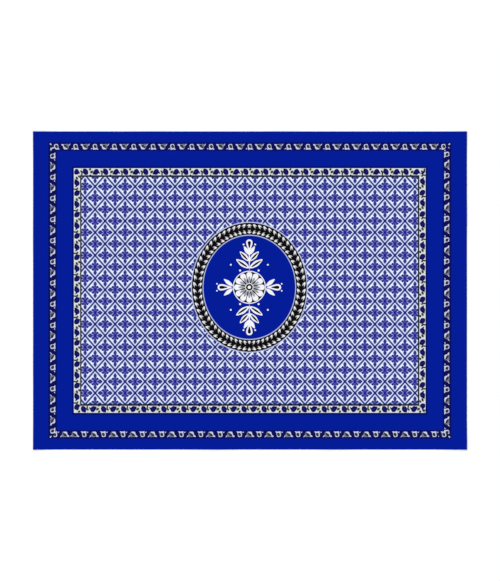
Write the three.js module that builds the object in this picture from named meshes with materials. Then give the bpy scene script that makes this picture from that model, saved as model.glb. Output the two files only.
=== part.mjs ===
// A khanga: one rectangle of printed plain-weave cotton, worn as a wrap or shawl,
// lying spread out face up. Millimetres, +Z up. The origin is on the surface that the
// cloth lies on, under its middle. X runs between the two hemmed ends, Y between the
// two selvedges.
import * as THREE from "three";

// Driving dimensions
const CLOTH_LENGTH = 1500;
const CLOTH_WIDTH = 1100;
const CLOTH_THICKNESS = 1.2;

// Each end is turned under twice, so the hem is thicker and lifts the face above it.
const HEM_WIDTH = 9;
const HEM_THICKNESS = 2.4;
const HEM_STEP = 5; // the run in which the face comes down off the hem

// The long sides are the loom's own closed edges, woven a little denser.
const SELVEDGE_WIDTH = 7;
const SELVEDGE_THICKNESS = 1.5;
const SELVEDGE_STEP = 4;

// A fold or a selvedge is rounded: this far in, it has its whole thickness.
const EDGE_ROUND = 0.5;
const EDGE_SHARE = 0.4; // share of the thickness that is left at the very edge

// How finely the spread of the cloth is divided, between its edge bands
const BAYS_ALONG = 44;
const BAYS_ACROSS = 32;

// Low ripples that are left when the cloth is smoothed out by hand. Each is a soft
// ridge at x, y, whose length is turned from +X by turn degrees.
const RIPPLES = [
  { x: -520, y: 330, turn: -38, length: 460, width: 130, height: 1.9 },
  { x: 575, y: -40, turn: 82, length: 500, width: 125, height: 1.6 },
  { x: -400, y: -350, turn: 24, length: 520, width: 140, height: 2.1 },
  { x: 440, y: -390, turn: -28, length: 400, width: 120, height: 1.8 },
  { x: 330, y: 405, turn: 14, length: 460, width: 130, height: 1.5 },
  { x: -625, y: -40, turn: 97, length: 380, width: 110, height: 1.4 },
  { x: -255, y: 160, turn: 58, length: 420, width: 150, height: 1.2 },
  { x: 270, y: -120, turn: 41, length: 400, width: 150, height: 1.1 },
];

// Places where a corner or a stretch of edge stands a little off the surface
const LIFTS = [
  { x: -750, y: 550, reach: 110, height: 2.6 },
  { x: 750, y: 550, reach: 90, height: 1.9 },
  { x: -750, y: -550, reach: 100, height: 2.2 },
  { x: 750, y: -550, reach: 120, height: 3.0 },
  { x: -750, y: 185, reach: 95, height: 1.5 },
  { x: -750, y: -255, reach: 80, height: 1.2 },
  { x: 750, y: 260, reach: 90, height: 1.6 },
  { x: 110, y: 550, reach: 100, height: 1.3 },
  { x: -330, y: 550, reach: 85, height: 1.0 },
  { x: -120, y: -550, reach: 110, height: 1.5 },
  { x: 290, y: -550, reach: 90, height: 1.1 },
];

const { degToRad, smoothstep } = THREE.MathUtils;

// A soft hump: 1 in its middle, level and 0 at one unit from it and beyond.
function hump(t) {
  return Math.abs(t) < 1 ? 0.5 + 0.5 * Math.cos(Math.PI * t) : 0;
}

function rippleHeight({ x, y, turn, length, width, height }, atX, atY) {
  const cos = Math.cos(degToRad(turn));
  const sin = Math.sin(degToRad(turn));
  const along = (atX - x) * cos + (atY - y) * sin;
  const across = (atY - y) * cos - (atX - x) * sin;
  return height * hump(along / (length / 2)) * hump(across / (width / 2));
}

function liftHeight({ x, y, reach, height }, atX, atY) {
  return height * hump(Math.hypot(atX - x, atY - y) / reach);
}

// How far the underside stands off the surface that the cloth lies on
function reliefAt(x, y) {
  const ripples = RIPPLES.map((ripple) => rippleHeight(ripple, x, y));
  const lifts = LIFTS.map((lift) => liftHeight(lift, x, y));
  return Math.max(...ripples) + Math.max(...lifts);
}

// A band along an edge is 1 over its width and falls to 0 over its step.
function edgeBand(fromEdge, width, step) {
  return 1 - smoothstep(fromEdge, width, width + step);
}

// The underside and the face of the cloth at a place on its plan
function faceHeights(x, y) {
  const fromEnd = CLOTH_LENGTH / 2 - Math.abs(x);
  const fromSide = CLOTH_WIDTH / 2 - Math.abs(y);
  const hem = edgeBand(fromEnd, HEM_WIDTH, HEM_STEP);
  const selvedge = edgeBand(fromSide, SELVEDGE_WIDTH, SELVEDGE_STEP);
  const thickness =
    CLOTH_THICKNESS +
    Math.max(
      hem * (HEM_THICKNESS - CLOTH_THICKNESS),
      selvedge * (SELVEDGE_THICKNESS - CLOTH_THICKNESS),
    );
  const inward = smoothstep(Math.min(fromEnd, fromSide), 0, EDGE_ROUND);
  const rounding = ((1 - inward) * (1 - EDGE_SHARE) * thickness) / 2;
  const underside = reliefAt(x, y) + rounding;
  return { underside, face: underside + thickness - 2 * rounding };
}

// Places of the dividing lines from one edge to the other: close together in the edge
// bands, then evenly spaced.
function dividingLines(size, bandEdges, bays) {
  const half = size / 2;
  const innerHalf = half - bandEdges.at(-1);
  const lower = bandEdges.map((inset) => inset - half);
  const inner = Array.from(
    { length: bays - 1 },
    (_, bay) => -innerHalf + ((bay + 1) * 2 * innerHalf) / bays,
  );
  const upper = lower.map((place) => -place).reverse();
  return [...lower, ...inner, ...upper];
}

// The cloth is a box divided into bays, whose points are moved onto the sheet's shape.
function clothGeometry() {
  const linesX = dividingLines(
    CLOTH_LENGTH,
    [0, EDGE_ROUND, HEM_WIDTH, HEM_WIDTH + HEM_STEP],
    BAYS_ALONG,
  );
  const linesY = dividingLines(
    CLOTH_WIDTH,
    [0, EDGE_ROUND, SELVEDGE_WIDTH, SELVEDGE_WIDTH + SELVEDGE_STEP],
    BAYS_ACROSS,
  );
  const baysX = linesX.length - 1;
  const baysY = linesY.length - 1;
  const geometry = new THREE.BoxGeometry(baysX, baysY, 1, baysX, baysY, 1);
  const position = geometry.getAttribute("position");
  for (let i = 0; i < position.count; i += 1) {
    const x = linesX[Math.round(position.getX(i) + baysX / 2)];
    const y = linesY[Math.round(position.getY(i) + baysY / 2)];
    const { underside, face } = faceHeights(x, y);
    position.setXYZ(i, x, y, position.getZ(i) > 0 ? face : underside);
  }
  geometry.computeVertexNormals();
  return geometry;
}

// Royal blue is the ground of the print, and the colour that shows most.
const printedCotton = new THREE.MeshStandardMaterial({
  color: 0x021c96,
  roughness: 0.9,
  metalness: 0,
});

const cloth = new THREE.Mesh(clothGeometry(), printedCotton);
cloth.name = "khanga_cloth";

const khanga = new THREE.Group();
khanga.name = "khanga";
khanga.add(cloth);

export default khanga;
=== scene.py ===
from collections import namedtuple
from math import cos, hypot, pi, radians, sin

import bpy
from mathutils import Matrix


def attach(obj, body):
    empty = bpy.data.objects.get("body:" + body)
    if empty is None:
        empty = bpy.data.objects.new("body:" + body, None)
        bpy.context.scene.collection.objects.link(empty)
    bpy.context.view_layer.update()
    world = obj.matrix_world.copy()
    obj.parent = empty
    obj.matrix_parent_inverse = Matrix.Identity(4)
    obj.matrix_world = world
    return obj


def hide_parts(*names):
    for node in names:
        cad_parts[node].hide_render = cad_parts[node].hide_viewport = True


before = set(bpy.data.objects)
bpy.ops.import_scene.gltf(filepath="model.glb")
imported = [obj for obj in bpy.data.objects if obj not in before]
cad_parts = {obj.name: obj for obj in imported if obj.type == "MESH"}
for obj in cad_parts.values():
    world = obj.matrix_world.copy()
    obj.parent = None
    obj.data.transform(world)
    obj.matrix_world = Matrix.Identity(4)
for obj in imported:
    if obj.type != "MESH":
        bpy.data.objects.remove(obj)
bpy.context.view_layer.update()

# The cloth: one length of plain-weave cotton, about 145 grams a square metre. The cut
# ends are turned under twice and sewn, the long sides are the loom's own closed edges.
# It lies face up on the floor, smoothed out by hand.
CLOTH_LENGTH = 1.5
CLOTH_WIDTH = 1.1
COTTON_THICKNESS = 0.0004
SELVEDGE_THICKNESS = 0.0005
SELVEDGE_WIDTH = 0.007
SELVEDGE_STEP = 0.004
HEM_WIDTH = 0.009
HEM_STEP = 0.005  # the run in which the face comes down off the hem
LAYER_PITCH = 0.00046  # from one layer of the hem to the next
RAW_EDGE_GAP = 0.0009  # the cut edge stops this far short of the outer fold
ROUNDED_EDGE = 0.00015  # how far a selvedge bulges beyond its faces
PUCKER_HEIGHT = 0.0004
PUCKER_PITCH = 0.029
PUCKER_SLANT = 0.6  # a pucker runs this far along the hem for each unit across it
PUCKER_DRIFT = 0.23  # the length in which the puckers crowd and spread
PUCKER_WANDER = 1.4  # radians that they are carried by that
SWELL_DRIFT = 0.391  # the length in which they grow and fade
SWELL_SHARE = 0.45  # and how far, as a share of their height
SWELL_SHIFT = 3  # radians to the metre along the cloth, so that the two hems differ
BAY_ALONG = 0.0085  # from one line of points in the sheet to the next
BAY_ACROSS = 0.0068
SELVEDGE_INSETS = [0, 0.001, 0.004, 0.007, 0.009]  # the lines stand closer there
STEP_BAYS = 5  # and on the hem: down off it, along its top layer
TOP_BAYS = 4
OUTER_FOLD_BAYS = 8  # and round its two folds
INNER_FOLD_BAYS = 6
INSIDE_SHARES = [0.33, 0.67, 1.0]  # and along the two layers turned under

Ripple = namedtuple("Ripple", "x y turn length width height")
RIPPLES = [
    Ripple(-0.520, 0.330, -38, 0.460, 0.130, 0.0019),
    Ripple(0.575, -0.040, 82, 0.500, 0.125, 0.0016),
    Ripple(-0.400, -0.350, 24, 0.520, 0.140, 0.0021),
    Ripple(0.440, -0.390, -28, 0.400, 0.120, 0.0018),
    Ripple(0.330, 0.405, 14, 0.460, 0.130, 0.0015),
    Ripple(-0.625, -0.040, 97, 0.380, 0.110, 0.0014),
    Ripple(-0.255, 0.160, 58, 0.420, 0.150, 0.0012),
    Ripple(0.270, -0.120, 41, 0.400, 0.150, 0.0011),
]
Lift = namedtuple("Lift", "x y reach height")
LIFTS = [
    Lift(-0.75, 0.55, 0.110, 0.0026),
    Lift(0.75, 0.55, 0.090, 0.0019),
    Lift(-0.75, -0.55, 0.100, 0.0022),
    Lift(0.75, -0.55, 0.120, 0.0030),
    Lift(-0.75, 0.185, 0.095, 0.0015),
    Lift(-0.75, -0.255, 0.080, 0.0012),
    Lift(0.75, 0.260, 0.090, 0.0016),
    Lift(0.11, 0.55, 0.100, 0.0013),
    Lift(-0.33, 0.55, 0.085, 0.0010),
    Lift(-0.12, -0.55, 0.110, 0.0015),
    Lift(0.29, -0.55, 0.090, 0.0011),
]


def hump(t):
    """A soft hump: 1 in its middle, level and 0 at one unit from it and beyond."""
    return 0.5 + 0.5 * cos(pi * t) if abs(t) < 1 else 0.0


def eased(t):
    """Goes from 0 to 1 with a level start and end."""
    t = min(max(t, 0.0), 1.0)
    return t * t * (3 - 2 * t)


def ripple_height(ripple, x, y):
    c = cos(radians(ripple.turn))
    s = sin(radians(ripple.turn))
    along = (x - ripple.x) * c + (y - ripple.y) * s
    across = (y - ripple.y) * c - (x - ripple.x) * s
    along_share = along / (ripple.length / 2)
    across_share = across / (ripple.width / 2)
    return ripple.height * hump(along_share) * hump(across_share)


def lift_height(lift, x, y):
    return lift.height * hump(hypot(x - lift.x, y - lift.y) / lift.reach)


def hem_pucker(x, y):
    """The sewing draws each hem up into low waves, no two alike."""
    from_end = CLOTH_LENGTH / 2 - abs(x)
    on_hem = 1 - eased((from_end - HEM_WIDTH) / (2 * HEM_STEP))
    drift = PUCKER_WANDER * sin(2 * pi * y / PUCKER_DRIFT + x)
    run = y + PUCKER_SLANT * from_end
    wave = 0.5 + 0.5 * sin(2 * pi * run / PUCKER_PITCH + drift)
    growth = sin(2 * pi * y / SWELL_DRIFT + SWELL_SHIFT * x)
    swell = 1 - SWELL_SHARE + SWELL_SHARE * growth
    return PUCKER_HEIGHT * on_hem * wave * swell


def relief_at(x, y):
    """How far the underside stands off the floor."""
    ripples = max(ripple_height(ripple, x, y) for ripple in RIPPLES)
    lifts = max(lift_height(lift, x, y) for lift in LIFTS)
    return ripples + lifts + hem_pucker(x, y)


def thickness_at(y):
    from_side = CLOTH_WIDTH / 2 - abs(y)
    selvedge = 1 - eased((from_side - SELVEDGE_WIDTH) / SELVEDGE_STEP)
    return COTTON_THICKNESS + selvedge * (SELVEDGE_THICKNESS - COTTON_THICKNESS)


def even_shares(bays):
    return [bay / bays for bay in range(1, bays + 1)]


def hem_section():
    """The right half of the cloth's middle line, from the middle of the cloth to the
    cut edge inside the hem, as places x, height."""
    half = CLOTH_LENGTH / 2
    low = COTTON_THICKNESS / 2
    step_start = half - HEM_WIDTH - HEM_STEP
    bays = round(step_start / BAY_ALONG)
    section = [(step_start * bay / bays, low) for bay in range(bays + 1)]
    for share in even_shares(STEP_BAYS):
        rise = 2 * LAYER_PITCH * eased(share)
        section.append((step_start + HEM_STEP * share, low + rise))
    inner = half - HEM_WIDTH
    outer = half - COTTON_THICKNESS / 2 - LAYER_PITCH
    for share in even_shares(TOP_BAYS):
        section.append((inner + (outer - inner) * share, low + 2 * LAYER_PITCH))
    for share in even_shares(OUTER_FOLD_BAYS):
        angle = pi / 2 - pi * share
        place = outer + LAYER_PITCH * cos(angle)
        section.append((place, low + LAYER_PITCH * (1 + sin(angle))))
    fold = inner + LAYER_PITCH
    for share in INSIDE_SHARES:
        section.append((outer + (fold - outer) * share, low))
    for share in even_shares(INNER_FOLD_BAYS):
        angle = -pi / 2 - pi * share
        place = fold + LAYER_PITCH / 2 * cos(angle)
        section.append((place, low + LAYER_PITCH / 2 * (1 + sin(angle))))
    cut = outer - RAW_EDGE_GAP
    for share in INSIDE_SHARES:
        section.append((fold + (cut - fold) * share, low + LAYER_PITCH))
    return section


Column = namedtuple("Column", "run x height lean_x lean_z")


def cloth_columns():
    """The whole middle line from cut edge to cut edge. run is the length of cloth from
    its middle, lean the way that the printed face looks."""
    right = hem_section()
    line = [(-x, height) for x, height in reversed(right[1:])] + right
    middle = len(right) - 1
    runs = [0.0]
    for (x0, h0), (x1, h1) in zip(line, line[1:]):
        runs.append(runs[-1] + hypot(x1 - x0, h1 - h0))
    columns = []
    for i, (x, height) in enumerate(line):
        x0, h0 = line[max(i - 1, 0)]
        x1, h1 = line[min(i + 1, len(line) - 1)]
        length = hypot(x1 - x0, h1 - h0)
        lean = (-(h1 - h0) / length, (x1 - x0) / length)
        columns.append(Column(runs[i] - runs[middle], x, height, *lean))
    return columns


def cloth_rows():
    half = CLOTH_WIDTH / 2 - ROUNDED_EDGE
    inner = half - SELVEDGE_WIDTH - SELVEDGE_STEP
    bays = round(2 * inner / BAY_ACROSS)
    bands = [half - inset for inset in SELVEDGE_INSETS]
    body = [-inner + 2 * inner * bay / bays for bay in range(bays + 1)]
    return [-y for y in bands] + body + bands[::-1]


columns = cloth_columns()
rows = cloth_rows()
cut_length = columns[-1].run - columns[0].run
fold_run = max(c.run for c in columns if c.x > CLOTH_LENGTH / 2 - HEM_WIDTH and c.lean_z > 0)

points = []
for side in (1, -1):
    for y in rows:
        thickness = thickness_at(y)
        stack = thickness / COTTON_THICKNESS
        for column in columns:
            base = relief_at(column.x, y) + stack * column.height
            x = column.x + side * column.lean_x * thickness / 2
            z = base + side * column.lean_z * thickness / 2
            points.append((x, y, z))
rim_start = len(points)
for y in (-CLOTH_WIDTH / 2, CLOTH_WIDTH / 2):
    stack = thickness_at(y) / COTTON_THICKNESS
    for column in columns:
        points.append((column.x, y, relief_at(column.x, y) + stack * column.height))

wide = len(columns)
deep = len(rows)
under = wide * deep
face_quads = []
under_quads = []
for r in range(deep - 1):
    for c in range(wide - 1):
        at = r * wide + c
        face_quads.append((at, at + 1, at + wide + 1, at + wide))
        low = under + at
        under_quads.append((low, low + wide, low + wide + 1, low + 1))
rim_quads = []
for c in range(wide - 1):
    front = rim_start + c
    back = rim_start + wide + c
    last = (deep - 1) * wide + c
    rim_quads.append((c, front, front + 1, c + 1))
    rim_quads.append((front, under + c, under + c + 1, front + 1))
    rim_quads.append((last, last + 1, back + 1, back))
    rim_quads.append((back, back + 1, under + last + 1, under + last))
for r in range(deep - 1):
    start = r * wide
    end = start + wide - 1
    rim_quads.append((start, start + wide, under + start + wide, under + start))
    rim_quads.append((end, under + end, under + end + wide, end + wide))
for row, rim in ((0, rim_start), (deep - 1, rim_start + wide)):
    for column in (0, wide - 1):
        at = row * wide + column
        corner = (at, under + at, rim + column)
        flip = (row == 0) == (column == 0)
        rim_quads.append(corner[::-1] if flip else corner)

cloth_mesh = bpy.data.meshes.new("khanga_sheet")
cloth_mesh.from_pydata(points, [], under_quads + rim_quads + face_quads)
cloth_mesh.polygons.foreach_set("use_smooth", [True] * len(cloth_mesh.polygons))

# Two maps lie on the sheet. print_plan gives each place as metres of flat cloth, and
# runs on round the hem folds. OFBake lays the printed face over the whole square.
BAKE_INSET = 0.0012  # the thin rims take their colour from just inside the edge


def plan_place(vertex):
    if vertex >= rim_start:
        row, column = divmod(vertex - rim_start, wide)
        return columns[column].run, (-CLOTH_WIDTH / 2, CLOTH_WIDTH / 2)[row]
    row, column = divmod(vertex % under, wide)
    return columns[column].run, rows[row]


def bake_place(vertex, on_rim):
    run, y = plan_place(vertex)
    inset = BAKE_INSET if on_rim and vertex >= under else 0.0
    if abs(run) > fold_run:
        run = (2 * fold_run - abs(run)) * (1 if run > 0 else -1)
    x_limit = CLOTH_LENGTH / 2
    y_limit = CLOTH_WIDTH / 2 - inset
    y = min(max(y, -y_limit), y_limit)
    return (run + x_limit) / CLOTH_LENGTH, (y + CLOTH_WIDTH / 2) / CLOTH_WIDTH


plan_map = cloth_mesh.uv_layers.new(name="print_plan")
bake_map = cloth_mesh.uv_layers.new(name="OFBake")
rims = range(len(under_quads), len(under_quads) + len(rim_quads))
for polygon in cloth_mesh.polygons:
    for loop in polygon.loop_indices:
        vertex = cloth_mesh.loops[loop].vertex_index
        plan_map.data[loop].uv = plan_place(vertex)
        bake_map.data[loop].uv = bake_place(vertex, polygon.index in rims)
cloth = bpy.data.objects.new("khanga_sheet", cloth_mesh)
bpy.context.collection.objects.link(cloth)

# The print: flat inks laid on the cotton by rollers in register, one for each colour.
# Its measures are millimetres of flat cloth from the middle of the length, X along it
# and Y across it. Math nodes work them out, and a group draws each part of the design.
METRES_TO_PRINT = 1000
INK_BLEED = 0.7  # mm in which an inked edge fades into the yarn
INK_GAIN = 0.9  # mm that a dark ink creeps out beyond the roller's edge


def feed(tree, value, socket):
    """Feeds a socket from a measure, another socket or a plain number or colour."""
    if isinstance(value, Measure):
        tree.links.new(value.socket, socket)
    elif isinstance(value, bpy.types.NodeSocket):
        tree.links.new(value, socket)
    else:
        socket.default_value = value


class Measure:
    """A length or a share that Math nodes work out at each place on the print."""

    def __init__(self, tree, socket):
        self.tree = tree
        self.socket = socket

    def work(self, operation, *others, held=False):
        node = self.tree.nodes.new("ShaderNodeMath")
        node.operation = operation
        node.use_clamp = held
        for value, socket in zip((self, *others), node.inputs):
            feed(self.tree, value, socket)
        return Measure(self.tree, node.outputs["Value"])

    def __add__(self, other):
        return self.work("ADD", other)

    def __sub__(self, other):
        return self.work("SUBTRACT", other)

    def __mul__(self, other):
        return self.work("MULTIPLY", other)

    def __truediv__(self, other):
        return self.work("DIVIDE", other)

    def __neg__(self):
        return self.work("MULTIPLY", -1)

    def __abs__(self):
        return self.work("ABSOLUTE")

    def least(self, other):
        return self.work("MINIMUM", other)

    def most(self, other):
        return self.work("MAXIMUM", other)

    def above(self, other):
        return self.work("GREATER_THAN", other)

    def between(self, lowest, highest):
        """Wraps round, so that one repeat of a border serves for all of them."""
        return self.work("WRAP", highest, lowest)

    def inked(self, bleed=INK_BLEED):
        """Turns a depth inside a shape into the share of ink that is laid there."""
        return self.work("MULTIPLY_ADD", 1 / bleed, 0.5, held=True)


def ink(red, green, blue):
    """An ink by its screen colour, 0 to 255, as the linear colour that nodes use."""
    shares = [level / 255 for level in (red, green, blue)]
    linear = [s / 12.92 if s <= 0.04045 else ((s + 0.055) / 1.055) ** 2.4 for s in shares]
    return (*linear, 1.0)


# Where a Mix node keeps the sockets of each kind, some of which share their names
MixSockets = namedtuple("MixSockets", "share first second result")
MIX_SOCKETS = {"FLOAT": MixSockets(0, 2, 3, 0), "RGBA": MixSockets(0, 6, 7, 2)}


def mixed(tree, kind, share, first, second, blend="MIX"):
    node = tree.nodes.new("ShaderNodeMix")
    node.data_type = kind
    node.blend_type = blend
    at = MIX_SOCKETS[kind]
    for value, socket in ((share, at.share), (first, at.first), (second, at.second)):
        feed(tree, value, node.inputs[socket])
    return node.outputs[at.result]


def pick(flag, when_off, when_on):
    return Measure(flag.tree, mixed(flag.tree, "FLOAT", flag, when_off, when_on))


def overprint(under_ink, over_ink, share):
    """Lays one ink over what is printed so far."""
    return mixed(share.tree, "RGBA", share, under_ink, over_ink)


def parts_of(tree, vector):
    node = tree.nodes.new("ShaderNodeSeparateXYZ")
    tree.links.new(vector, node.inputs["Vector"])
    return Measure(tree, node.outputs["X"]), Measure(tree, node.outputs["Y"])


def place_of(x, y):
    node = x.tree.nodes.new("ShaderNodeCombineXYZ")
    feed(x.tree, x, node.inputs["X"])
    feed(x.tree, y, node.inputs["Y"])
    return node.outputs["Vector"]


def turned(tree, place, x, y, turn, long, broad):
    """A place as seen from x, y, turned by degrees and in units of long and broad."""
    node = tree.nodes.new("ShaderNodeMapping")
    node.vector_type = "TEXTURE"
    tree.links.new(place, node.inputs["Vector"])
    node.inputs["Location"].default_value = (x, y, 0)
    node.inputs["Rotation"].default_value = (0, 0, radians(turn))
    node.inputs["Scale"].default_value = (long, broad, 1)
    return node.outputs["Vector"]


def drawn_curve(measure, outline):
    node = measure.tree.nodes.new("ShaderNodeFloatCurve")
    node.mapping.extend = "HORIZONTAL"
    curve = node.mapping.curves[0]
    curve.points[0].location = outline[0]
    curve.points[-1].location = outline[-1]
    for point in outline[1:-1]:
        curve.points.new(*point)
    for point in curve.points:
        point.handle_type = "AUTO_CLAMPED"
    node.mapping.update()
    feed(measure.tree, measure, node.inputs["Value"])
    return Measure(measure.tree, node.outputs["Value"])


# Half-outlines of the print's shapes: share of the length, share of the half width. An
# outline falls below 0 at both ends, so that nothing is inked beyond them.
OUTLINES = {
    "leaf": [(0.03, 0.12), (0.3, 0.85), (0.5, 1), (0.72, 0.72), (0.97, 0.1)],
    "drop": [(0.02, 0.1), (0.3, 0.5), (0.55, 0.86), (0.74, 1), (0.92, 0.72), (0.985, 0.25)],
    "kite": [(0.02, 0.5), (0.25, 0.5), (0.54, 1), (0.62, 0.98), (0.82, 0.5), (0.97, 0.08)],
    "lozenge": [(0.03, 0.14), (0.25, 0.54), (0.48, 1), (0.56, 1), (0.78, 0.54), (0.97, 0.06)],
    "bell": [
        (0.015, 0.97), (0.1, 0.93), (0.3, 0.86), (0.55, 0.87),
        (0.8, 0.82), (0.92, 0.7), (0.985, 0.4),
    ],
    "cup": [(0.02, 0.6), (0.15, 0.8), (0.45, 0.94), (0.8, 1), (0.95, 0.96), (0.985, 0.7)],
}
BEFORE_START = (0, -2)
AFTER_END = (1, -2)
Leaf = namedtuple("Leaf", "x y turn length width outline")
Spot = namedtuple("Spot", "x y turn half_length half_width")


def leaf_depth(tree, place, leaf):
    """How deep a place lies inside a leaf, which grows from x, y the way it is turned."""
    half_width = leaf.width / 2
    grown = turned(tree, place, leaf.x, leaf.y, leaf.turn, leaf.length, half_width)
    along, across = parts_of(tree, grown)
    outline = [BEFORE_START, *OUTLINES[leaf.outline], AFTER_END]
    return (drawn_curve(along, outline) - abs(across)) * half_width


def length_of(tree, vector):
    node = tree.nodes.new("ShaderNodeVectorMath")
    node.operation = "LENGTH"
    tree.links.new(vector, node.inputs[0])
    return Measure(tree, node.outputs["Value"])


def spot_depth(tree, place, spot):
    """How deep a place lies inside an oval spot."""
    size = spot.half_length, spot.half_width
    seen = turned(tree, place, spot.x, spot.y, spot.turn, *size)
    return length_of(tree, seen).work("MULTIPLY_ADD", -min(size), min(size))


def shapes_inked(tree, place, shapes, bleed=INK_BLEED, gain=INK_GAIN):
    """Where any of the shapes is inked. The gain is below 0 for shapes left white."""
    inked = None
    for shape in shapes:
        depth = (leaf_depth if isinstance(shape, Leaf) else spot_depth)(tree, place, shape)
        share = (depth + gain).inked(bleed)
        inked = share if inked is None else inked.most(share)
    return inked


def print_group(name):
    """A group that takes a place on the cloth, and gives the ink and its cover there."""
    tree = bpy.data.node_groups.new(name, "ShaderNodeTree")
    tree.interface.new_socket("Place", in_out="INPUT", socket_type="NodeSocketVector")
    tree.interface.new_socket("Ink", in_out="OUTPUT", socket_type="NodeSocketColor")
    tree.interface.new_socket("Cover", in_out="OUTPUT", socket_type="NodeSocketFloat")
    entry = tree.nodes.new("NodeGroupInput")
    return tree, entry.outputs["Place"]


def close_group(tree, ink_socket, cover):
    leave = tree.nodes.new("NodeGroupOutput")
    feed(tree, ink_socket, leave.inputs["Ink"])
    feed(tree, cover, leave.inputs["Cover"])


Side = namedtuple("Side", "pitch start out")


def by_side(x, y, at_end, top, bottom, left, right):
    on_long_side = pick(y.above(0), bottom, top)
    return pick(at_end, on_long_side, pick(x.above(0), left, right))


def along_border(x, y, half_x, half_y, sides, facing):
    """A place on a border that runs round the cloth: across it, outwards, and along it
    in repeats. Across the ends the motifs face outwards, 1, or inwards, -1."""
    past_x = abs(x) - half_x
    past_y = abs(y) - half_y
    at_end = past_x.above(past_y)
    order = [sides[name] for name in ("top", "bottom", "left", "right")]
    pitch = by_side(x, y, at_end, *[side.pitch for side in order])
    start = by_side(x, y, at_end, *[side.start for side in order])
    out = by_side(x, y, at_end, *[side.out for side in order])
    long_run = x * pick(y.above(0), -1, 1)
    end_run = y * pick(x.above(0), facing, -facing)
    repeats = (pick(at_end, long_run, end_run) - start) / pitch
    return past_x.most(past_y) - out, repeats, at_end


# Outer border: white buds and open flowers, turn about, on a navy strip, with a drop
# at each corner. It runs round the cloth just inside the plain edge.
NAVY = ink(8, 13, 86)
BUD_WHITE = ink(200, 204, 226)
HEART_BLACK = ink(20, 18, 30)
VEIN_GREY = ink(110, 114, 134)
OUTER_HALF_X = 681
OUTER_HALF_Y = 497.7
OUTER_STRIP = 14.6  # half the width of the navy strip
STRIP_FADE = 3.2  # mm in which it fades into the ground
SHADE_BLEED = 1.6  # and in which the grey side of a flower fades
OUTER_PITCH = 66.9  # the repeat that the motifs are charted in
OUTER_END_STRETCH = 1.1  # the motifs are this much narrower across the ends
OUTER_SIDES = {
    "top": Side(66.95, -0.9, 0),
    "bottom": Side(67.25, -32.5, 0),
    "left": Side(73.15, 25.1, 1.5),
    "right": Side(73.95, -28.2, 0),
}
OUTER_FIRST = -17.5  # where the charted repeat begins
JOIN_LEFT = -620  # beyond these the bottom run is joined half a repeat out of step
JOIN_RIGHT = 651
OUTER_WHITES = [
    Leaf(1.7, -10.2, 97, 19, 18.6, "bell"),
    Leaf(4, -8.2, -8, 9.2, 5.4, "leaf"),
    Leaf(-15.6, -10, 28, 8, 5.2, "drop"),
    Leaf(33.8, -9.8, 92, 17.8, 20.8, "cup"),
    Leaf(28, 2.5, 152, 12.4, 7.4, "leaf"),
    Leaf(42, 1, 51, 13.4, 4.6, "leaf"),
]
OUTER_GREYS = [
    Spot(36.6, 5.4, 15, 4.6, 2.6),
    Leaf(39.6, -8.6, 84, 13.6, 4.4, "leaf"),
]
OUTER_HEARTS = [
    Leaf(4.2, -5.8, 116, 13.4, 8.2, "leaf"),
    Leaf(26.6, 6.4, -41, 17, 6.6, "leaf"),
]
OUTER_VEINS = [
    Leaf(3.2, -3.8, 116, 8.4, 0.9, "leaf"),
    Leaf(29.4, 4, -41, 8.6, 0.8, "leaf"),
]
CORNER_INSIDE = 2.4  # the plain corner starts this far inside the strip's middle
CORNER_WHITES = [Leaf(3.5, 3.5, 45, 10, 6.4, "drop")]

tree, place = print_group("outer_border_print")
x, y = parts_of(tree, place)
outward, repeats, at_end = along_border(x, y, OUTER_HALF_X, OUTER_HALF_Y, OUTER_SIDES, 1)
strip = (-abs(outward) + OUTER_STRIP).inked(STRIP_FADE)
joined = (-x + JOIN_LEFT).most(x - JOIN_RIGHT).above(0)
joined = joined * pick(y.above(0), 1, 0) * pick(at_end, 1, 0)
first = OUTER_FIRST / OUTER_PITCH
run = (repeats + joined / 2).between(first, first + 1) * OUTER_PITCH
cell = place_of(run, outward * pick(at_end, 1, OUTER_END_STRETCH))
past = place_of(abs(x) - OUTER_HALF_X, abs(y) - OUTER_HALF_Y)
past_end, past_side = parts_of(tree, past)
corner = (past_end.least(past_side) + CORNER_INSIDE).inked()
colour = overprint(NAVY, BUD_WHITE, shapes_inked(tree, cell, OUTER_WHITES, gain=-INK_GAIN))
colour = overprint(colour, VEIN_GREY, shapes_inked(tree, cell, OUTER_GREYS, SHADE_BLEED))
colour = overprint(colour, HEART_BLACK, shapes_inked(tree, cell, OUTER_HEARTS))
colour = overprint(colour, VEIN_GREY, shapes_inked(tree, cell, OUTER_VEINS, gain=0))
colour = overprint(colour, NAVY, corner)
colour = overprint(colour, BUD_WHITE, shapes_inked(tree, past, CORNER_WHITES, gain=-INK_GAIN))
close_group(tree, colour, strip)

# Inner border: a cream band with plum-blue leaves and olive sprigs on a vine, kept in
# by a dark line with small dark tufts on it.
CREAM = ink(219, 222, 231)
PLUM_BLUE = ink(10, 11, 80)
PLUM_LIGHT = ink(18, 24, 106)
OLIVE = ink(52, 50, 38)
VINE = ink(196, 204, 190)
LINE_GREY = ink(36, 42, 48)
TUFT_BLACK = ink(18, 18, 40)
HALO_NAVY = ink(0, 5, 66)
INNER_HALF_X = 597.2
INNER_HALF_Y = 411.3
INNER_BAND = 12.7  # half the width of the cream band along the long sides
INNER_END_STRETCH = 1.13
INNER_HALO = 5.4  # the navy that shows round the band
INNER_FADE = 4
VINE_BLEED = 2.4  # the soft edges of its inks
CORE_BLEED = 4
HALO_BLEED = 1.6
INNER_PITCH = 69.4
INNER_SIDES = {
    "top": Side(69.25, 22.6, -0.9),
    "bottom": Side(69.35, -11.6, -0.8),
    "left": Side(73.9, 72.6, 0.8),
    "right": Side(73.85, 8.6, -1.2),
}
INNER_FIRST = -27
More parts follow.
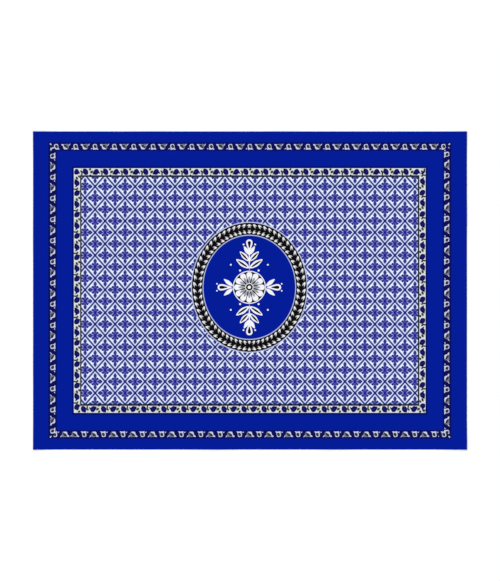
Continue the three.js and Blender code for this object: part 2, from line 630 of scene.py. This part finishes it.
INNER_PLUMS = [
    Spot(-0.6, -0.4, 62, 9.8, 8.2),
    Leaf(-2, 1, 226, 14, 10, "leaf"),
    Leaf(3.5, 4.6, -52, 15, 4.4, "leaf"),
    Spot(32.2, -0.2, -66, 10.2, 8.4),
    Leaf(35.5, 0, 137, 15.5, 9, "leaf"),
    Leaf(32, -1, -50, 11.8, 9, "leaf"),
]
INNER_CORES = [
    Spot(-0.4, 0, 62, 4.6, 3),
    Spot(32.8, -0.6, -66, 4.8, 3),
]
INNER_VINES = [
    Leaf(-23, -7, 50, 19, 9, "leaf"),
    Leaf(-14, -12, 95, 10, 5, "leaf"),
    Leaf(19, -13, 92, 26, 6.5, "leaf"),
]
INNER_OLIVES = [
    Leaf(-25.6, 5.2, 38, 9.6, 5.6, "leaf"),
    Leaf(-20.9, -4, 38, 11.6, 6.2, "leaf"),
    Leaf(14.2, 4.2, -42, 12, 4.8, "leaf"),
    Leaf(20.5, -1, -97, 13, 3.6, "leaf"),
]
INNER_TUFTS = [
    Spot(-21, -16.8, 0, 7, 3.2),
    Leaf(-21, -16, 90, 7, 5, "leaf"),
    Spot(13, -16.4, 0, 6.6, 2.2),
]

tree, place = print_group("inner_border_print")
x, y = parts_of(tree, place)
outward, repeats, at_end = along_border(x, y, INNER_HALF_X, INNER_HALF_Y, INNER_SIDES, -1)
outward = outward * pick(at_end, 1, INNER_END_STRETCH)
first = INNER_FIRST / INNER_PITCH
run = repeats.between(first, first + 1) * INNER_PITCH
cell = place_of(run, outward * pick(at_end, 1, -1))
colour = overprint(CREAM, VINE, shapes_inked(tree, cell, INNER_VINES, VINE_BLEED))
colour = overprint(colour, PLUM_BLUE, shapes_inked(tree, cell, INNER_PLUMS))
colour = overprint(colour, PLUM_LIGHT, shapes_inked(tree, cell, INNER_CORES, CORE_BLEED))
colour = overprint(colour, OLIVE, shapes_inked(tree, cell, INNER_OLIVES))
colour = overprint(colour, LINE_GREY, (-outward - (INNER_BAND - INK_GAIN)).inked())
upright = place_of(run, outward)
tufts = shapes_inked(tree, upright, INNER_TUFTS) * pick(at_end, 1, 0)
colour = overprint(colour, TUFT_BLACK, tufts)
halo = (outward - (INNER_BAND - INK_GAIN / 2)).inked(HALO_BLEED)
colour = overprint(colour, HALO_NAVY, halo)
cover = (-outward + (INNER_BAND + INNER_HALO)).inked(INNER_FADE)
close_group(tree, colour, cover)

# Lattice field: white diamonds between slate lines, with a blue-violet flower of four
# long and four short petals in each. One quarter of a diamond is charted.
FIELD_WHITE = ink(233, 246, 255)
FIELD_LAVENDER = ink(180, 187, 255)
GAP_LAVENDER = ink(148, 154, 234)
LATTICE_SLATE = ink(48, 57, 110)
CROSSING_NAVY = ink(24, 24, 102)
PETAL_VIOLET = ink(41, 44, 118)
PETAL_BODY = ink(50, 53, 154)
PETAL_LIGHT = ink(90, 95, 192)
FLOWER_EYE = ink(22, 22, 128)
FIELD_LEFT = -582.6
FIELD_RIGHT = 580.2
FIELD_HALF_Y = 392.4
DIAMOND_HALF_X = 34.55
DIAMOND_HALF_Y = 39.66
DIAMOND_X = 17.4  # the middle of one of the diamonds
DIAMOND_Y = 2.5
LINE_SPAN = DIAMOND_HALF_X * DIAMOND_HALF_Y / hypot(DIAMOND_HALF_X, DIAMOND_HALF_Y)
LATTICE_LINE = 1.95  # half the width of a line
FRINGE = 2.3  # the white beside a line and round a flower is tinted this far
FRINGE_FADE = 4.8
CROSSING_FADE = 3.0
LINE_BLEED = 1.4  # the soft edges of the lines and of the flower's inks
LIGHT_BLEED = 1.6
BODY_BLEED = 2
CROSSINGS = [
    Spot(DIAMOND_HALF_X, 0, 0, 3.2, 3.2),
    Spot(0, DIAMOND_HALF_Y, 0, 3.2, 3.2),
]
FLOWER_ARMS = [
    Leaf(7, 0, 0, 18.8, 12.8, "lozenge"),
    Leaf(0, 7.2, 90, 22, 9.4, "kite"),
    Leaf(1.2, 1.6, 48, 14.6, 7.6, "drop"),
]
FLOWER_GAPS = [Leaf(5.4, 2.6, 30, 11, 2.1, "leaf")]
FLOWER_BODY = [Spot(0, 0, 90, 9.2, 3.8)]
FLOWER_LIGHTS = [
    Spot(0, 8, 0, 4.4, 1.1),
    Spot(5.6, 0, 90, 4, 1.9),
]
FLOWER_VEINS = [
    Leaf(10, 0, 0, 11, 0.9, "leaf"),
    Leaf(0, 12, 90, 12, 0.8, "leaf"),
]
FLOWER_EYES = [Spot(0, 0, 0, 3, 3)]

tree, place = print_group("lattice_print")
x, y = parts_of(tree, place)
inside = (x - FIELD_LEFT).least(-x + FIELD_RIGHT)
cover = inside.least(-abs(y) + FIELD_HALF_Y).inked()
near_x = (x - DIAMOND_X).work("PINGPONG", DIAMOND_HALF_X)
near_y = (y - DIAMOND_Y).work("PINGPONG", DIAMOND_HALF_Y)
spread = near_x / DIAMOND_HALF_X + near_y / DIAMOND_HALF_Y
beyond = spread.above(1)
flower_x = pick(beyond, near_x, -near_x + DIAMOND_HALF_X)
flower_y = pick(beyond, near_y, -near_y + DIAMOND_HALF_Y)
line_depth = abs(spread - 1) * -LINE_SPAN + LATTICE_LINE
cell = place_of(flower_x, flower_y)
petals = FLOWER_ARMS + FLOWER_BODY
fringe = shapes_inked(tree, cell, petals, FRINGE_FADE, FRINGE)
fringe = fringe.most((line_depth + FRINGE).inked(FRINGE_FADE))
colour = overprint(FIELD_WHITE, FIELD_LAVENDER, fringe)
colour = overprint(colour, PETAL_VIOLET, shapes_inked(tree, cell, FLOWER_ARMS))
colour = overprint(colour, GAP_LAVENDER, shapes_inked(tree, cell, FLOWER_GAPS, gain=0))
colour = overprint(colour, PETAL_BODY, shapes_inked(tree, cell, FLOWER_BODY, BODY_BLEED))
lights = shapes_inked(tree, cell, FLOWER_LIGHTS, LIGHT_BLEED, gain=0)
colour = overprint(colour, PETAL_LIGHT, lights)
colour = overprint(colour, PETAL_LIGHT, shapes_inked(tree, cell, FLOWER_VEINS, gain=0))
colour = overprint(colour, FLOWER_EYE, shapes_inked(tree, cell, FLOWER_EYES, BODY_BLEED))
colour = overprint(colour, LATTICE_SLATE, (line_depth + INK_GAIN).inked(LINE_BLEED))
colour = overprint(colour, CROSSING_NAVY, shapes_inked(tree, cell, CROSSINGS, CROSSING_FADE))
close_group(tree, colour, cover)

# Medallion: an oval of the blue ground in the middle, inside a black ring of white
# laurel leaves in pairs, which grow up both sides from the bottom. A leaf is two blades
# that meet at its tip and fade towards the middle of the ring.
GROUND_BLUE = ink(0, 26, 148)
RING_BLACK = ink(9, 8, 12)
LEAF_WHITE = ink(246, 246, 248)
RING_LINE = ink(188, 196, 230)
RING_HALO = ink(194, 201, 234)
MEDALLION_X = -2.3
MEDALLION_Y = 11.1
MEDALLION_HALF_X = 197.7
MEDALLION_HALF_Y = 222.2
MEDALLION_MEAN = (MEDALLION_HALF_X + MEDALLION_HALF_Y) / 2
HALO_SHARE = 1.018  # these are shares of the medallion's half size
RING_INSIDE = 0.8215
LINE_INSIDE = 0.804
RING_MIDDLE = 0.9095
RING_REACH = 0.0905
LEAF_PAIRS = 31  # on each side, from the bottom to the top
LEAF_CROWDING = 0.0425  # they stand closer at the bottom and the top
LEAF_SPACING = 20.5  # mm, the spacing that a leaf is charted in
LEAF_TIP = 0.28  # the first tip stands this share of a spacing from the bottom
LEAF_BACK = -0.95  # where a leaf's share of the ring begins, behind its tip
LEAF_BLEED = 1.2  # the soft edges of the leaves, the ring and the whole oval
RING_BLEED = 1.5
OVAL_BLEED = 2
LAUREL_LEAF = [
    Leaf(-18.6, 9.7, 13, 19.4, 6.8, "drop"),
    Leaf(-12.8, 2, 43, 18, 6.6, "leaf"),
]
LAUREL_SHADE = [(0, 0.1), (0.2, 0.34), (0.4, 0.68), (0.6, 0.88), (0.75, 0.92), (1, 0.92)]

tree, place = print_group("medallion_print")
seen = turned(tree, place, MEDALLION_X, MEDALLION_Y, 0, MEDALLION_HALF_X, MEDALLION_HALF_Y)
reach = length_of(tree, seen)
seen_x, seen_y = parts_of(tree, seen)
cover = ((-reach + HALO_SHARE) * MEDALLION_MEAN).inked(OVAL_BLEED)
climb = abs(seen_x).work("ARCTAN2", -seen_y)
crowding = (climb * 2).work("SINE") * LEAF_CROWDING
from_middle = abs(reach - RING_MIDDLE) / RING_REACH
leaves = (climb + crowding) * (LEAF_PAIRS / pi) - LEAF_TIP
behind = leaves.between(LEAF_BACK, LEAF_BACK + 1) * LEAF_SPACING
cell = place_of(behind, from_middle * (RING_REACH * MEDALLION_MEAN))
leaf = shapes_inked(tree, cell, LAUREL_LEAF, LEAF_BLEED, gain=-INK_GAIN)
colour = overprint(RING_BLACK, LEAF_WHITE, leaf * drawn_curve(from_middle, LAUREL_SHADE))
past_ring = (reach - 1) * MEDALLION_MEAN
inside_ring = (-reach + RING_INSIDE) * MEDALLION_MEAN
inside_line = (-reach + LINE_INSIDE) * MEDALLION_MEAN
colour = overprint(colour, RING_HALO, (past_ring - INK_GAIN).inked(RING_BLEED))
colour = overprint(colour, RING_LINE, (inside_ring - INK_GAIN).inked(RING_BLEED))
colour = overprint(colour, GROUND_BLUE, inside_line.inked(RING_BLEED))
close_group(tree, colour, cover)

# The flower in the medallion: a round one of twelve petals, with a leaf spray above and
# below and a bud at each side. One petal is charted, and one quarter of the sprays.
SPRAY_WHITE = ink(240, 241, 246)
SPRAY_BLACK = ink(12, 10, 14)
FOLD_GREY = ink(150, 152, 160)
FOLD_BLEED = 2
ROSETTE_DISC = 57
ROSETTE_RIM = 3.2
ROSETTE_PETALS = 12
ROSETTE_PETAL = [Leaf(15, 0, 0, 38, 19.5, "drop")]
ROSETTE_FOLD = [Leaf(17, 0, 0, 21, 6.4, "leaf")]
ROSETTE_HEART = [Spot(0, 0, 0, 14.5, 14.5)]
ROSETTE_SEED = [Spot(0, 0, 0, 11, 11)]
ROSETTE_EYE = [Spot(0, 0, 0, 5.6, 5.6)]
SPRAY_LEAVES = [
    Leaf(0, 56, 90, 84, 4.4, "lozenge"),
    Leaf(0, 66, 34, 56, 19, "leaf"),
    Leaf(0, 90, 46, 48, 17, "leaf"),
    Leaf(0, 112, 58, 36, 13, "leaf"),
    Leaf(0, 122, 90, 44, 22, "drop"),
    Leaf(60, 0, 0, 50, 22, "drop"),
    Leaf(57, 4, 38, 40, 13, "leaf"),
]
SPRAY_HEARTS = [
    Leaf(7, 70, 34, 40, 5, "leaf"),
    Leaf(6, 95, 46, 34, 4.6, "leaf"),
    Leaf(0, 136, 90, 24, 9, "drop"),
    Leaf(76, 0, 0, 28, 9, "drop"),
]
SPRAY_DOTS = [
    Spot(32, 58, 0, 3.4, 3.4),
    Spot(64, 78, 0, 3, 3),
    Spot(20, 148, 0, 3, 3),
    Spot(112, 12, 0, 2.6, 2.6),
]

tree, place = print_group("flower_print")
x, y = parts_of(tree, place)
quarter = place_of(abs(x - MEDALLION_X), abs(y - MEDALLION_Y))
beside, above = parts_of(tree, quarter)
reach = length_of(tree, quarter)
swing = above.work("ARCTAN2", beside).work("PINGPONG", pi / ROSETTE_PETALS)
petal = place_of(reach * swing.work("COSINE"), reach * swing.work("SINE"))
disc = (-reach + ROSETTE_DISC).inked()
spray = shapes_inked(tree, quarter, SPRAY_LEAVES + SPRAY_DOTS, gain=0)
cover = spray.most(disc)
colour = overprint(SPRAY_WHITE, SPRAY_BLACK, shapes_inked(tree, quarter, SPRAY_HEARTS))
colour = overprint(colour, SPRAY_WHITE, disc)
within_rim = (-reach + (ROSETTE_DISC - ROSETTE_RIM)).inked()
fold = shapes_inked(tree, petal, ROSETTE_FOLD, FOLD_BLEED)
colour = overprint(colour, SPRAY_BLACK, within_rim)
colour = overprint(colour, SPRAY_WHITE, shapes_inked(tree, petal, ROSETTE_PETAL, gain=0))
colour = overprint(colour, FOLD_GREY, fold)
colour = overprint(colour, SPRAY_WHITE, shapes_inked(tree, petal, ROSETTE_HEART, gain=0))
colour = overprint(colour, SPRAY_BLACK, shapes_inked(tree, petal, ROSETTE_SEED))
colour = overprint(colour, SPRAY_WHITE, shapes_inked(tree, petal, ROSETTE_EYE, gain=0))
close_group(tree, colour, cover)

# The weave: plain, one over and one under, of yarns 0.42 mm apart that are nowhere
# quite even. Thick places in the yarn take the ink a little differently.
YARN_SPACING = 0.42  # mm
SLUB_LENGTH = 16
SLUB_WIDTH = 0.9
PATCH_SIZE = 60
SLUB_TONE = 0.10
PATCH_TONE = 0.08
SLUB_HEIGHT = 0.8
SLUB_ROUGHNESS = 0.2
COTTON_ROUGHNESS = 0.88
SLUB_DETAIL = 2
PATCH_DETAIL = 3


def noise(tree, place, x_size, y_size, detail):
    sized = turned(tree, place, 0, 0, 0, x_size, y_size)
    node = tree.nodes.new("ShaderNodeTexNoise")
    node.inputs["Scale"].default_value = 1.0
    node.inputs["Detail"].default_value = detail
    tree.links.new(sized, node.inputs["Vector"])
    return Measure(tree, node.outputs["Fac"]) - 0.5


weave = bpy.data.node_groups.new("plain_weave", "ShaderNodeTree")
weave.interface.new_socket("Place", in_out="INPUT", socket_type="NodeSocketVector")
weave.interface.new_socket("Tone", in_out="OUTPUT", socket_type="NodeSocketFloat")
weave.interface.new_socket("Height", in_out="OUTPUT", socket_type="NodeSocketFloat")
weave.interface.new_socket("Roughness", in_out="OUTPUT", socket_type="NodeSocketFloat")
entry = weave.nodes.new("NodeGroupInput")
place = entry.outputs["Place"]
x, y = parts_of(weave, place)
warp = noise(weave, place, SLUB_LENGTH, SLUB_WIDTH, SLUB_DETAIL)
weft = noise(weave, place, SLUB_WIDTH, SLUB_LENGTH, SLUB_DETAIL)
patch = noise(weave, place, PATCH_SIZE, PATCH_SIZE, PATCH_DETAIL)
slub = warp + weft
tone = slub * SLUB_TONE + patch * PATCH_TONE + 1
over_x = (x * (pi / YARN_SPACING)).work("SINE")
over_y = (y * (pi / YARN_SPACING)).work("SINE")
height = over_x * over_y + slub * SLUB_HEIGHT
leave = weave.nodes.new("NodeGroupOutput")
feed(weave, tone, leave.inputs["Tone"])
feed(weave, height, leave.inputs["Height"])
feed(weave, slub * SLUB_ROUGHNESS + COTTON_ROUGHNESS, leave.inputs["Roughness"])

# The printed cotton itself: the parts of the print are laid over the blue ground one
# after another. The dye goes through, so both sides show the same print.
WEAVE_HEIGHT = 0.00006
PRINTED_PARTS = [
    "outer_border_print",
    "inner_border_print",
    "lattice_print",
    "medallion_print",
    "flower_print",
]

cotton = bpy.data.materials.new("printed_cotton")
cotton.use_nodes = True
tree = cotton.node_tree
tree.nodes.clear()
plan_node = tree.nodes.new("ShaderNodeUVMap")
plan_node.uv_map = "print_plan"
scaled = tree.nodes.new("ShaderNodeVectorMath")
scaled.operation = "SCALE"
scaled.inputs["Scale"].default_value = METRES_TO_PRINT
tree.links.new(plan_node.outputs["UV"], scaled.inputs[0])
place = scaled.outputs["Vector"]
colour = GROUND_BLUE
for name in PRINTED_PARTS:
    part = tree.nodes.new("ShaderNodeGroup")
    part.node_tree = bpy.data.node_groups[name]
    tree.links.new(place, part.inputs["Place"])
    colour = overprint(colour, part.outputs["Ink"], Measure(tree, part.outputs["Cover"]))
yarn = tree.nodes.new("ShaderNodeGroup")
yarn.node_tree = weave
tree.links.new(place, yarn.inputs["Place"])
toned = mixed(tree, "RGBA", 1.0, colour, yarn.outputs["Tone"], "MULTIPLY")
bump = tree.nodes.new("ShaderNodeBump")
bump.inputs["Strength"].default_value = 0.6
bump.inputs["Distance"].default_value = WEAVE_HEIGHT
tree.links.new(yarn.outputs["Height"], bump.inputs["Height"])
shader = tree.nodes.new("ShaderNodeBsdfPrincipled")
shader.inputs["Specular IOR Level"].default_value = 0.03
shader.inputs["Sheen Weight"].default_value = 0.02
shader.inputs["Sheen Roughness"].default_value = 0.5
tree.links.new(toned, shader.inputs["Base Color"])
tree.links.new(yarn.outputs["Roughness"], shader.inputs["Roughness"])
tree.links.new(bump.outputs["Normal"], shader.inputs["Normal"])
surface = tree.nodes.new("ShaderNodeOutputMaterial")
tree.links.new(shader.outputs["BSDF"], surface.inputs["Surface"])
cloth_mesh.materials.append(cotton)
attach(cloth, "root")
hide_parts("khanga_cloth")

# Hem stitching: blue cotton thread, a row of machine lockstitches along each hem, just
# outside its inner fold. The same row shows on both sides of the cloth.
STITCH_PITCH = 0.0031
STITCH_LENGTH = 0.0026
THREAD_THICKNESS = 0.0003
STITCH_FROM_END = 0.0073
STITCH_SWAY = 3.0  # degrees to either side
STITCH_SEED = 7
THREAD_DARK = ink(2, 22, 118)
THREAD_LIGHT = ink(20, 50, 176)
THREAD_GRAIN = 900.0  # tufts of fibre to the metre
RANDOM_LOWEST = 2  # where a Random Value node keeps its sockets for plain numbers
RANDOM_HIGHEST = 3
RANDOM_NUMBER = 1

stitch_tree = bpy.data.node_groups.new("hem_stitch_row", "GeometryNodeTree")
StitchInput = namedtuple("StitchInput", "name kind value")
STITCH_INPUTS = [
    StitchInput("Stitch Length", "NodeSocketFloat", STITCH_LENGTH),
    StitchInput("Thread Thickness", "NodeSocketFloat", THREAD_THICKNESS),
    StitchInput("Sway", "NodeSocketFloat", radians(STITCH_SWAY)),
    StitchInput("Seed", "NodeSocketInt", STITCH_SEED),
]
sockets = stitch_tree.interface
sockets.new_socket("Points", in_out="INPUT", socket_type="NodeSocketGeometry")
stitch_sockets = {}
for name, kind, value in STITCH_INPUTS:
    socket = sockets.new_socket(name, in_out="INPUT", socket_type=kind)
    stitch_sockets[socket.identifier] = value
thread_socket = sockets.new_socket("Thread", in_out="INPUT", socket_type="NodeSocketMaterial")
sockets.new_socket("Stitches", in_out="OUTPUT", socket_type="NodeSocketGeometry")
entry = stitch_tree.nodes.new("NodeGroupInput")
ball = stitch_tree.nodes.new("GeometryNodeMeshUVSphere")
ball.inputs["Segments"].default_value = 6
ball.inputs["Rings"].default_value = 5
ball.inputs["Radius"].default_value = 0.5
drawn = stitch_tree.nodes.new("GeometryNodeTransform")
stitch_size = stitch_tree.nodes.new("ShaderNodeCombineXYZ")
stitch_tree.links.new(entry.outputs["Thread Thickness"], stitch_size.inputs["X"])
stitch_tree.links.new(entry.outputs["Stitch Length"], stitch_size.inputs["Y"])
stitch_tree.links.new(entry.outputs["Thread Thickness"], stitch_size.inputs["Z"])
stitch_tree.links.new(ball.outputs["Mesh"], drawn.inputs["Geometry"])
stitch_tree.links.new(stitch_size.outputs["Vector"], drawn.inputs["Scale"])
swing_back = stitch_tree.nodes.new("ShaderNodeMath")
swing_back.operation = "MULTIPLY"
swing_back.inputs[1].default_value = -1
stitch_tree.links.new(entry.outputs["Sway"], swing_back.inputs[0])
swayed = stitch_tree.nodes.new("FunctionNodeRandomValue")
swayed.data_type = "FLOAT"
stitch_tree.links.new(swing_back.outputs["Value"], swayed.inputs[RANDOM_LOWEST])
stitch_tree.links.new(entry.outputs["Sway"], swayed.inputs[RANDOM_HIGHEST])
stitch_tree.links.new(entry.outputs["Seed"], swayed.inputs["Seed"])
stitch_turn = stitch_tree.nodes.new("ShaderNodeCombineXYZ")
stitch_tree.links.new(swayed.outputs[RANDOM_NUMBER], stitch_turn.inputs["Z"])
laid = stitch_tree.nodes.new("GeometryNodeInstanceOnPoints")
stitch_tree.links.new(entry.outputs["Points"], laid.inputs["Points"])
stitch_tree.links.new(drawn.outputs["Geometry"], laid.inputs["Instance"])
stitch_tree.links.new(stitch_turn.outputs["Vector"], laid.inputs["Rotation"])
realized = stitch_tree.nodes.new("GeometryNodeRealizeInstances")
stitch_tree.links.new(laid.outputs["Instances"], realized.inputs["Geometry"])
threaded = stitch_tree.nodes.new("GeometryNodeSetMaterial")
stitch_tree.links.new(realized.outputs["Geometry"], threaded.inputs["Geometry"])
stitch_tree.links.new(entry.outputs["Thread"], threaded.inputs["Material"])
leave = stitch_tree.nodes.new("NodeGroupOutput")
stitch_tree.links.new(threaded.outputs["Geometry"], leave.inputs["Stitches"])

thread = bpy.data.materials.new("sewing_thread")
thread.use_nodes = True
tree = thread.node_tree
thread_shader = tree.nodes["Principled BSDF"]
twist = tree.nodes.new("ShaderNodeTexCoord")
thread_noise = tree.nodes.new("ShaderNodeTexNoise")
thread_noise.inputs["Scale"].default_value = THREAD_GRAIN
tree.links.new(twist.outputs["Object"], thread_noise.inputs["Vector"])
tuft = Measure(tree, thread_noise.outputs["Fac"])
thread_colour = overprint(THREAD_DARK, THREAD_LIGHT, tuft)
tree.links.new(thread_colour, thread_shader.inputs["Base Color"])
thread_shader.inputs["Roughness"].default_value = 0.6
thread_shader.inputs["Specular IOR Level"].default_value = 0.2

stitch_count = round((CLOTH_WIDTH - 2 * STITCH_PITCH) / STITCH_PITCH)
hem_layers = 2 * LAYER_PITCH + COTTON_THICKNESS
for side_name, end in (("left", -1), ("right", 1)):
    places = []
    for stitch in range(stitch_count):
        y = STITCH_PITCH * (stitch - (stitch_count - 1) / 2)
        x = end * (CLOTH_LENGTH / 2 - STITCH_FROM_END)
        stack = thickness_at(y) / COTTON_THICKNESS
        base = relief_at(x, y)
        places.append((x, y, base + stack * hem_layers))
        places.append((x, y, base + THREAD_THICKNESS / 4))
    guide = bpy.data.meshes.new(side_name + "_stitch_places")
    guide.from_pydata(places, [], [])
    row = bpy.data.objects.new(side_name + "_hem_stitches", guide)
    bpy.context.collection.objects.link(row)
    sewn = row.modifiers.new("hem_stitch_row", "NODES")
    sewn.node_group = stitch_tree
    for identifier, value in stitch_sockets.items():
        sewn[identifier] = value
    sewn[thread_socket.identifier] = thread
    evaluated = row.evaluated_get(bpy.context.evaluated_depsgraph_get())
    row_mesh = bpy.data.meshes.new_from_object(evaluated)
    row.modifiers.clear()
    row.data = row_mesh
    bpy.data.meshes.remove(guide)
    row_mesh.polygons.foreach_set("use_smooth", [True] * len(row_mesh.polygons))
    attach(row, "root")

# Where it is shown: a plain white studio floor, even soft light from above and a little
# to the left, and a camera that looks straight down on the middle of the cloth.
FLOOR_SIZE = 60.0
FLOOR_DROP = 0.0004
FLOOR_WHITE = (0.97, 0.97, 0.97, 1)
SKY_STRENGTH = 0.6
LAMP_STRENGTH = 1.75
LAMP_SPREAD = 50  # degrees of sky that the lamp fills
LAMP_TILT_X = -28  # degrees
LAMP_TILT_Y = -24
FRAME_HEIGHT = 2.0088  # what the upright picture covers on the cloth
LENS = 100
SENSOR = 36

floor_mesh = bpy.data.meshes.new("studio_floor")
half = FLOOR_SIZE / 2
floor_corners = [(-half, -half), (half, -half), (half, half), (-half, half)]
floor_points = [(x, y, -FLOOR_DROP) for x, y in floor_corners]
floor_mesh.from_pydata(floor_points, [], [(0, 1, 2, 3)])
floor = bpy.data.objects.new("studio_floor", floor_mesh)
bpy.context.collection.objects.link(floor)
floor_paint = bpy.data.materials.new("floor_paint")
floor_paint.use_nodes = True
floor_shader = floor_paint.node_tree.nodes["Principled BSDF"]
floor_shader.inputs["Base Color"].default_value = FLOOR_WHITE
floor_shader.inputs["Roughness"].default_value = 0.8
floor_shader.inputs["Specular IOR Level"].default_value = 0.1
floor_mesh.materials.append(floor_paint)

scene = bpy.context.scene
world = bpy.data.worlds.new("white_studio")
world.use_nodes = True
backdrop = world.node_tree.nodes["Background"]
backdrop.inputs["Color"].default_value = (1, 1, 1, 1)
backdrop.inputs["Strength"].default_value = SKY_STRENGTH
scene.world = world
lamp_data = bpy.data.lights.new("soft_overhead", "SUN")
lamp_data.energy = LAMP_STRENGTH
lamp_data.angle = radians(LAMP_SPREAD)
lamp = bpy.data.objects.new("soft_overhead", lamp_data)
lamp.rotation_euler = (radians(LAMP_TILT_X), radians(LAMP_TILT_Y), 0)
bpy.context.collection.objects.link(lamp)
camera_data = bpy.data.cameras.new("overhead_camera")
camera_data.lens = LENS
camera_data.sensor_width = SENSOR
camera = bpy.data.objects.new("overhead_camera", camera_data)
camera.location = (0, 0, FRAME_HEIGHT * LENS / SENSOR)
bpy.context.collection.objects.link(camera)
scene.camera = camera
scene.view_settings.view_transform = "Standard"
